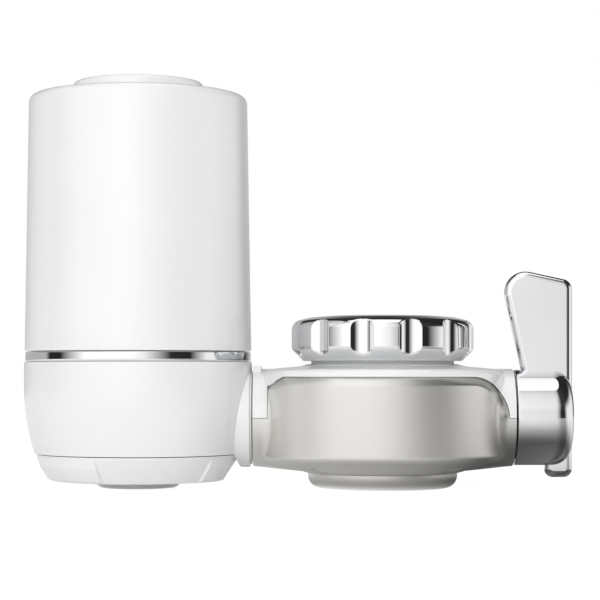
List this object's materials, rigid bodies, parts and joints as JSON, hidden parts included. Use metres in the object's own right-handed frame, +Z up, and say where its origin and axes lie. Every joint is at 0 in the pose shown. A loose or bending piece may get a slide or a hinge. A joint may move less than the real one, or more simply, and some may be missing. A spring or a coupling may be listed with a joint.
{
  "type": "faucet mount water filter",
  "caption": "Faucet mount water filter: upright cartridge housing beside a diverter with a ribbed tap nut and a side lever.",
  "frame": {"origin": "on the tap's axis, on the washer that the tap's end seats on, at the foot of the adapter's thread", "axes": "+Z up along the tap's axis, +X towards the lever, away from the filter housing"},
  "size_m": [0.1693, 0.075, 0.1246],
  "materials": {
    "white_plastic": "smooth moulded white",
    "satin_shell": "satin nickel plating on plastic",
    "chrome_plate": "polished chrome plating on plastic",
    "inner_plastic": "plain moulded off-white",
    "seal_rubber": "black rubber",
    "steel": "stainless steel",
    "carbon_block": "pressed carbon, matt black",
    "sleeve": "non-woven fleece"
  },
  "bodies": {
    "unit": {"filter_base": "white_plastic", "base_bottom_cap": "white_plastic", "outlet_nozzle": "white_plastic", "upper_casing": "white_plastic", "spray_face": "white_plastic", "lower_shell": "satin_shell", "outlet_ring": "satin_shell", "trim_ring": "chrome_plate", "cartridge_bottom_cap": "inner_plastic", "cartridge_top_cap": "inner_plastic", "cartridge_core": "inner_plastic", "connector_tube": "inner_plastic", "valve_body": "inner_plastic", "core_retainer": "inner_plastic", "tap_adapter": "inner_plastic", "outlet_insert": "inner_plastic", "aerator_insert": "inner_plastic", "cover_seal": "seal_rubber", "spigot_o_rings": "seal_rubber", "connector_o_rings": "seal_rubber", "adapter_gasket": "seal_rubber", "inlet_washer": "seal_rubber", "outlet_seal": "seal_rubber", "case_screws": "steel", "retainer_screws": "steel", "inlet_screen": "steel", "aerator_screen": "steel", "cartridge_media": "carbon_block", "cartridge_wrap": "sleeve"},
    "nut": {"mounting_nut": "chrome_plate"},
    "lever": {"lever": "chrome_plate", "lever_plug": "chrome_plate", "lever_screw": "steel", "valve_core": "inner_plastic", "core_o_rings": "seal_rubber"},
    "cover": {"top_cover": "white_plastic"}
  },
  "joints": [
    {"name": "nut_turn", "type": "hinge", "parent": "unit", "child": "nut", "pos_m": [0, 0, 0], "axis": [0, 0, 1], "continuous": true},
    {"name": "lever_turn", "type": "hinge", "parent": "unit", "child": "lever", "pos_m": [0, 0, -0.0226], "axis": [1, 0, 0], "range_deg": [-90, 90]},
    {"name": "cover_lift", "type": "slide", "parent": "unit", "child": "cover", "axis": [0, 0, 1], "range_m": [0, 0.09]}
  ]
}
